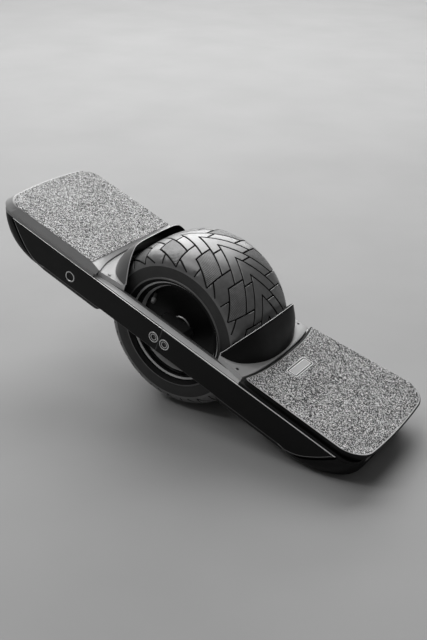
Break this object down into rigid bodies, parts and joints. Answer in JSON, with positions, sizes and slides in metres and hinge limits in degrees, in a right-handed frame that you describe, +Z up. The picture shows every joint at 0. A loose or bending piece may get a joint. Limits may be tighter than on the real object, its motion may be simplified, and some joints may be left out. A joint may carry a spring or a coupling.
{
  "type": "one-wheeled electric skateboard",
  "caption": "Self-balancing electric board: a fat centre wheel with a hub motor between two rails, with a foot pad and fender at each end.",
  "frame": {"origin": "on the floor, below the middle of the whole object's outline seen from above", "axes": "+Z up, +X along the board towards its rear end, which rests on the floor, +Y across the board to the rider's right"},
  "size_m": [0.7478, 0.2432, 0.3223],
  "materials": {
    "tyre": "matte",
    "rubber": "matte",
    "grip": "gritty",
    "black_plastic": "satin",
    "grey_plastic": "satin",
    "lens": "gloss",
    "circuit": "satin",
    "battery_wrap": "satin",
    "rail_metal": "anodised",
    "hub_paint": "satin black",
    "box_metal": "satin black",
    "steel": "brushed",
    "motor_iron": "matte"
  },
  "bodies": {
    "frame": {"left_rail": "rail_metal", "right_rail": "rail_metal", "left_front_rail_guard": "black_plastic", "left_rear_rail_guard": "black_plastic", "right_front_rail_guard": "black_plastic", "right_rear_rail_guard": "black_plastic", "left_axle_block": "rail_metal", "right_axle_block": "rail_metal", "left_front_axle_bolt": "steel", "left_rear_axle_bolt": "steel", "right_front_axle_bolt": "steel", "right_rear_axle_bolt": "steel", "axle_shaft": "steel", "motor_stator": "motor_iron", "button_bezel": "steel", "button_switch": "black_plastic", "controller_box": "box_metal", "controller_box_lid": "box_metal", "controller_board": "circuit", "battery_box": "box_metal", "battery_box_lid": "box_metal", "battery_pack": "battery_wrap", "battery_board": "circuit", "motor_cable": "rubber", "battery_cable": "rubber", "front_bumper": "black_plastic", "rear_bumper": "black_plastic", "front_lamp": "lens", "rear_lamp": "lens", "front_pad_base": "black_plastic", "rear_pad_base": "black_plastic", "front_footpad": "grey_plastic", "rear_footpad": "black_plastic", "foot_sensor": "lens", "front_grip_tape": "grip", "rear_grip_tape": "grip", "badge_frame": "grey_plastic", "front_fender": "grey_plastic", "rear_fender": "grey_plastic", "left_front_fender_screw": "steel", "right_front_fender_screw": "steel", "left_rear_fender_screw": "steel", "right_rear_fender_screw": "steel"},
    "wheel": {"hub_rim": "hub_paint", "tyre": "tyre", "left_hub_cover": "hub_paint", "right_hub_cover": "hub_paint", "left_bearing": "steel", "right_bearing": "steel", "magnet_ring": "motor_iron", "valve_stem": "steel", "valve_cap": "rubber"},
    "button": {"power_button": "black_plastic"}
  },
  "joints": [
    {"name": "wheel_spin", "type": "hinge", "parent": "frame", "child": "wheel", "pos_m": [-0.0114, 0, 0.146], "axis": [0, 1, 0], "continuous": true},
    {"name": "power_button_press", "type": "slide", "parent": "frame", "child": "button", "axis": [0, 1, 0], "range_m": [0, 0.0012], "stiffness_N_per_m": 900, "springref_m": -0.0003}
  ]
}
